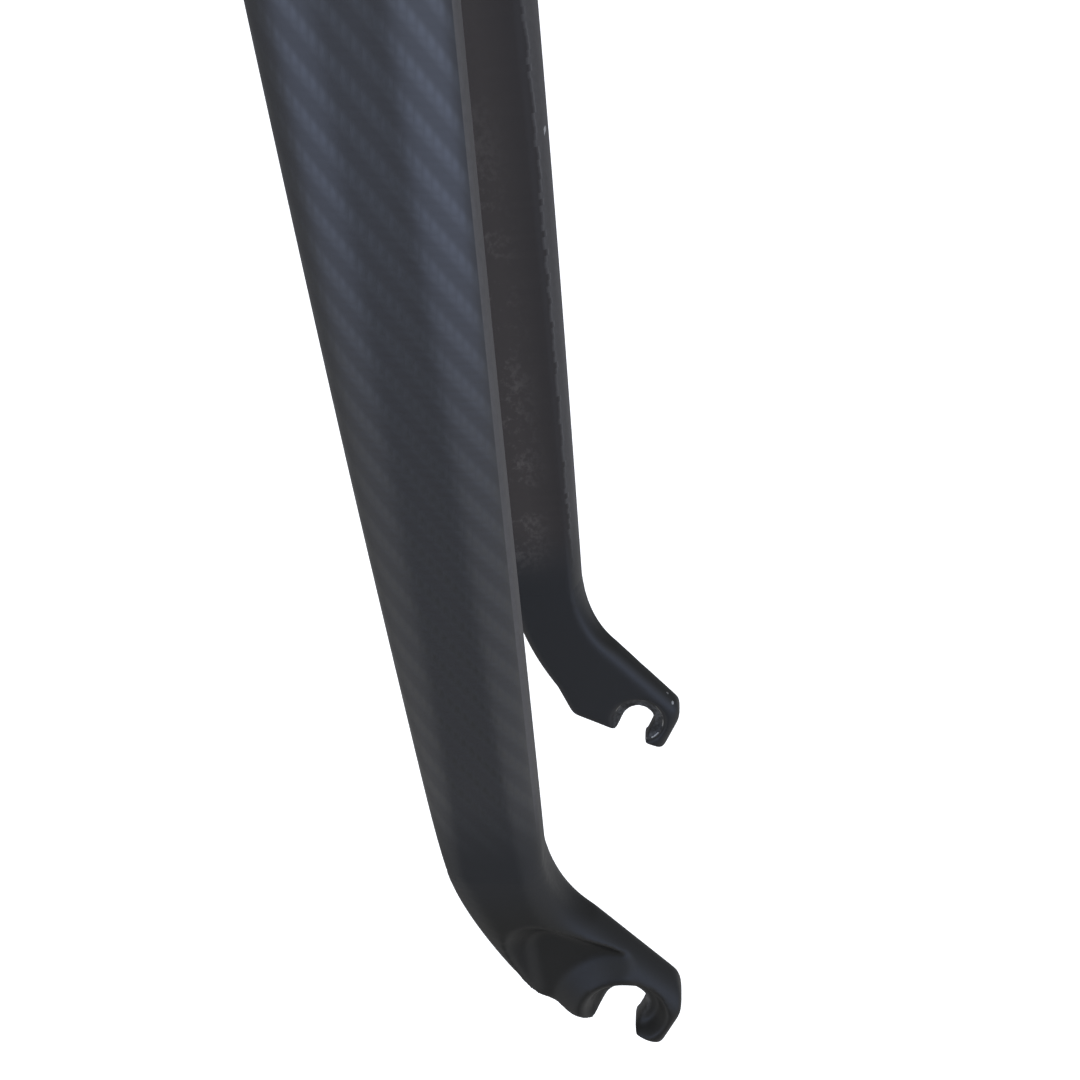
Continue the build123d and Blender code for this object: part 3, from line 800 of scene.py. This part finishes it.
class FORK_OT_body(bpy.types.Operator):
    """Crown and both carbon blades"""
    bl_idname = "fork.body"
    bl_label = "Carbon body"

    def execute(self, context):
        bm = bmesh.new()
        for name in TAGS:
            bm.verts.layers.float.new(name)
        build_leg(bm)
        self.finish_legs(bm)
        mesh = bpy.data.meshes.new("carbon_body")
        bm.to_mesh(mesh)
        bm.free()
        body = bpy.data.objects.new("carbon_body", mesh)
        context.collection.objects.link(body)
        self.shape_crown(context, body)
        mesh = body.data
        self.clean(mesh)
        for polygon in mesh.polygons:
            polygon.use_smooth = True
        mesh.set_sharp_from_angle(angle=SMOOTH_ANGLE)
        mesh.materials.append(new_material("Carbon twill", carbon_feeds(context.scene.fork_carbon)))
        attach(body, "root")
        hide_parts("fork_body")
        return {"FINISHED"}

    def finish_legs(self, bm):
        """Second leg, cloth coordinates and the move into the fork's frame."""
        bmesh.ops.mirror(bm, geom=bm.verts[:] + bm.edges[:] + bm.faces[:], axis="Y", merge_dist=WELD)
        bmesh.ops.remove_doubles(bm, verts=bm.verts, dist=WELD)
        bmesh.ops.recalc_face_normals(bm, faces=bm.faces)
        girth, run, lap, chord = [bm.verts.layers.float[name] for name in TAGS]
        cloth = bm.loops.layers.uv.new("cloth")
        border = bm.loops.layers.uv.new("lap")
        for face in bm.faces:
            side = -1 if face.calc_center_median().y < 0 else 1
            behind = sum(loop.vert[girth] > 1 for loop in face.loops) > 1
            for loop in face.loops:
                vert = loop.vert
                u = abs(vert[girth]) if behind else vert[girth]
                loop[cloth].uv = (side * u * MM, vert[run] * MM)
                loop[border].uv = (vert[lap] * MM, vert[chord] * MM)
        place = Matrix.Translation((RAKE, 0, -AXLE_DROP)) @ Matrix.Rotation(-LEAN, 4, "Y")
        bmesh.ops.transform(bm, matrix=Matrix.Scale(MM, 4) @ place, verts=bm.verts)
        ease_bend(bm)

    def shape_crown(self, context, body):
        """Boss under the crown race, the steerer's socket and the hole for the brake sleeve."""
        carve(context, body, self.boss(), "UNION")
        bm = bmesh.new()
        bmesh.ops.create_cone(bm, cap_ends=True, segments=ROUND_STEPS, radius1=SOCKET_R * MM,
                              radius2=SOCKET_R * MM, depth=2 * SOCKET_DEPTH * MM)
        carve(context, body, bm, "DIFFERENCE")
        bm = bmesh.new()
        bmesh.ops.create_cone(bm, cap_ends=True, segments=SLEEVE_STEPS, radius1=SLEEVE_R * MM,
                              radius2=SLEEVE_R * MM, depth=SLEEVE_CUT * MM)
        bmesh.ops.rotate(bm, verts=bm.verts, matrix=Matrix.Rotation(math.pi / 2, 3, "Y"))
        bmesh.ops.translate(bm, verts=bm.verts, vec=(0, 0, -BRAKE_DROP * MM))
        carve(context, body, bm, "DIFFERENCE")

    def boss(self):
        """Round boss, flared into the top of the crown, with cloth wound round it."""
        bm = bmesh.new()
        cloth = bm.loops.layers.uv.new("cloth")
        top = BOSS_OD / 2
        shares = np.linspace(0, 1, FLARE_STEPS + 1)
        flare = [(top + FLARE_OUT * t * t, -FLARE_TOP - FLARE_DEPTH * t) for t in shares]
        rim = [(0, 0), (top - BOSS_CHAMFER, 0), (top, -BOSS_CHAMFER)]
        foot = [(top - 1, -BOSS_FOOT), (0, -BOSS_FOOT)]
        verts = [bm.verts.new((x, 0, z)) for x, z in rim + flare + foot]
        edges = [bm.edges.new(pair) for pair in zip(verts, verts[1:])]
        bmesh.ops.spin(bm, geom=verts + edges, axis=(0, 0, 1), cent=(0, 0, 0), steps=ROUND_STEPS,
                       angle=math.tau, use_merge=True)
        bmesh.ops.remove_doubles(bm, verts=bm.verts, dist=WELD)
        bmesh.ops.recalc_face_normals(bm, faces=bm.faces)
        for face in bm.faces:
            for loop in face.loops:
                x, y, z = loop.vert.co
                loop[cloth].uv = (math.atan2(y, x) * top * MM, z * MM)
        bmesh.ops.scale(bm, verts=bm.verts, vec=(MM, MM, MM))
        return bm

    def clean(self, mesh):
        """Takes out the slivers that the cuts leave."""
        bm = bmesh.new()
        bm.from_mesh(mesh)
        bmesh.ops.remove_doubles(bm, verts=bm.verts, dist=SLIVER * MM)
        bmesh.ops.dissolve_degenerate(bm, edges=bm.edges, dist=SLIVER * MM)
        bm.to_mesh(mesh)
        bm.free()


class FORK_OT_dropouts(bpy.types.Operator):
    """Painted dropouts"""
    bl_idname = "fork.dropouts"
    bl_label = "Dropouts"

    def execute(self, context):
        paint = new_material("Black satin paint", paint_feeds(context.scene.fork_paint))
        for name in ("dropout_left", "dropout_right"):
            piece = self.soften(context, name)
            piece.data.materials.clear()
            piece.data.materials.append(paint)
            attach(piece, "root")
            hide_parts(name)
        return {"FINISHED"}

    def soften(self, context, name):
        """A merged copy of a dropout, remeshed, with its forged edges rounded below the joint."""
        bm = bmesh.new()
        bm.from_mesh(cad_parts[name].data)
        bmesh.ops.remove_doubles(bm, verts=bm.verts, dist=COPY_WELD * MM)
        mesh = bpy.data.meshes.new(name + "_forged")
        bm.to_mesh(mesh)
        bm.free()
        piece = bpy.data.objects.new(name + "_forged", mesh)
        context.collection.objects.link(piece)
        remesh = piece.modifiers.new("remesh", "REMESH")
        remesh.mode = "VOXEL"
        remesh.voxel_size = SOFT_STEP * MM
        context.view_layer.update()
        made = bpy.data.meshes.new_from_object(piece.evaluated_get(context.evaluated_depsgraph_get()))
        piece.modifiers.clear()
        bm = bmesh.new()
        bm.from_mesh(made)
        top = (JOINT_HEIGHT - SOFT_BELOW) * MM
        free = [v for v in bm.verts if (v.co - AXLE).dot(UPWARD) < top]
        for _ in range(SOFT_ROUNDS):
            bmesh.ops.smooth_vert(bm, verts=free, factor=SOFT_SHARE,
                                  use_axis_x=True, use_axis_y=True, use_axis_z=True)
        self.seat_shoulder(bm)
        ease_bend(bm)
        for face in bm.faces:
            face.smooth = True
        bm.to_mesh(made)
        bm.free()
        piece.data = made
        return piece

    def seat_shoulder(self, bm):
        """Runs the top of the shoulder up inside the blade's rim, so that no groove shows at the joint."""
        bm.normal_update()
        normals = [v.normal.copy() for v in bm.verts]
        for vert, normal in zip(bm.verts, normals):
            above = (vert.co - AXLE).dot(UPWARD) / MM - JOINT_HEIGHT
            if above > -SHOULDER:
                lift = SHOULDER_LIFT * (1 - max(above, 0.0) / SOCKET_REACH)
                vert.co += (UPWARD * lift - normal * SHOULDER_INSET) * MM


class FORK_OT_alloy(bpy.types.Operator):
    """Bare steerer tube and brake sleeve"""
    bl_idname = "fork.alloy"
    bl_label = "Steerer and sleeve"

    def execute(self, context):
        settings = context.scene.fork_alloy
        steerer = new_material("Drawn aluminium", alloy_feeds(settings, DRAWN_LINES))
        sleeve = new_material("Turned aluminium", alloy_feeds(settings, TURNED_LINES))
        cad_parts["steerer_tube"].data.materials[0] = steerer
        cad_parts["brake_sleeve"].data.materials[0] = sleeve
        return {"FINISHED"}


class FORK_PT_panel(bpy.types.Panel):
    """Fork tools"""
    bl_label = "Fork"
    bl_idname = "FORK_PT_panel"
    bl_space_type = "VIEW_3D"
    bl_region_type = "UI"
    bl_category = "Fork"

    def draw(self, context):
        for operator in OPERATORS:
            self.layout.operator(operator.bl_idname)


SETTINGS = {
    "fork_carbon": ForkCarbonSettings,
    "fork_paint": ForkPaintSettings,
    "fork_alloy": ForkAlloySettings,
    "fork_stage": ForkStageSettings,
}
OPERATORS = (FORK_OT_stage, FORK_OT_body, FORK_OT_dropouts, FORK_OT_alloy)
CLASSES = (*SETTINGS.values(), *OPERATORS, FORK_PT_panel)


def register():
    for item in CLASSES:
        bpy.utils.register_class(item)
    for name, kind in SETTINGS.items():
        setattr(bpy.types.Scene, name, bpy.props.PointerProperty(type=kind))


def unregister():
    for name in SETTINGS:
        delattr(bpy.types.Scene, name)
    for item in reversed(CLASSES):
        bpy.utils.unregister_class(item)


def main():
    register()
    bpy.ops.fork.stage()
    bpy.ops.fork.body()
    bpy.ops.fork.dropouts()
    bpy.ops.fork.alloy()


if __name__ == "__main__":
    main()
